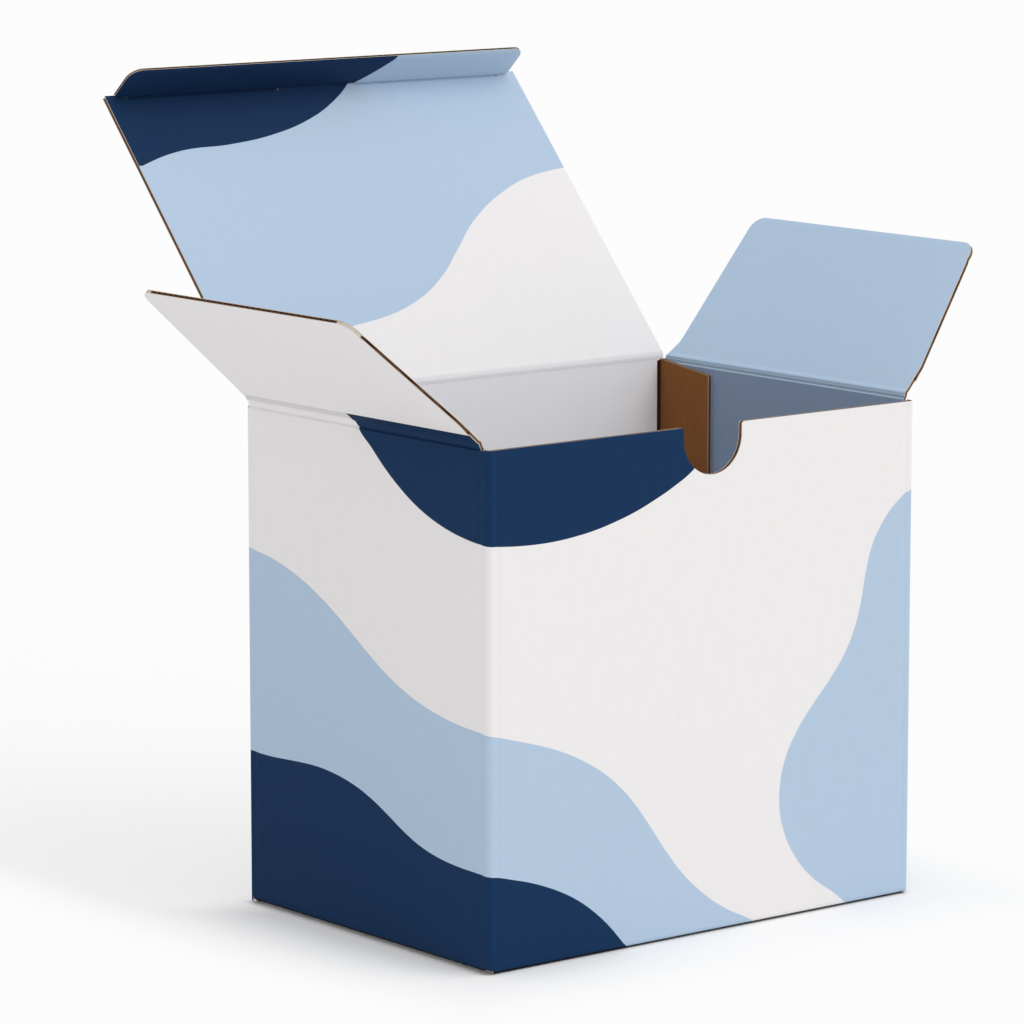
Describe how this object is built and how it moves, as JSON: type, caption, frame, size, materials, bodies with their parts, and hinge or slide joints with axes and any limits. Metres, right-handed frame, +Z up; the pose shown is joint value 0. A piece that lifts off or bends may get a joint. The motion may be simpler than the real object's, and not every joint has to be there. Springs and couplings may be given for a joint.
{
  "type": "corrugated tuck-top carton",
  "caption": "Open corrugated cardboard carton with a thumb notch, a hinged lid with a tuck flap, and two hinged dust flaps.",
  "frame": {"origin": "middle of the base's underside", "axes": "+Z up, the wall with the thumb notch faces -Y, +X to the right as one faces that wall"},
  "size_m": [0.2937, 0.2354, 0.3029],
  "materials": {
    "printed_board": "matt white liner with navy and pale blue print fields",
    "lid_board": "matt white liner with navy and pale blue print fields",
    "tuck_board": "matt printed liner, mostly navy",
    "left_flap_board": "matt white liner",
    "right_flap_board": "matt printed liner, pale blue"
  },
  "bodies": {
    "box": {"carton": "printed_board"},
    "lid": {"lid": "lid_board"},
    "tuck": {"tuck_flap": "tuck_board"},
    "left_flap": {"left_dust_flap": "left_flap_board"},
    "right_flap": {"right_dust_flap": "right_flap_board"}
  },
  "joints": [
    {"name": "lid_hinge", "type": "hinge", "parent": "box", "child": "lid", "pos_m": [0, 0.0701, 0.1883], "axis": [-1, 0, 0], "range_deg": [-132, 93]},
    {"name": "tuck_hinge", "type": "hinge", "parent": "lid", "child": "tuck", "pos_m": [0, 0.16244, 0.29085], "axis": [1, 0, 0], "range_deg": [-90, 0]},
    {"name": "left_flap_hinge", "type": "hinge", "parent": "box", "child": "left_flap", "pos_m": [-0.0991, 0, 0.1862], "axis": [0, -1, 0], "range_deg": [-138, 87]},
    {"name": "right_flap_hinge", "type": "hinge", "parent": "box", "child": "right_flap", "pos_m": [0.0991, 0, 0.1862], "axis": [0, 1, 0], "range_deg": [-130, 95]}
  ]
}
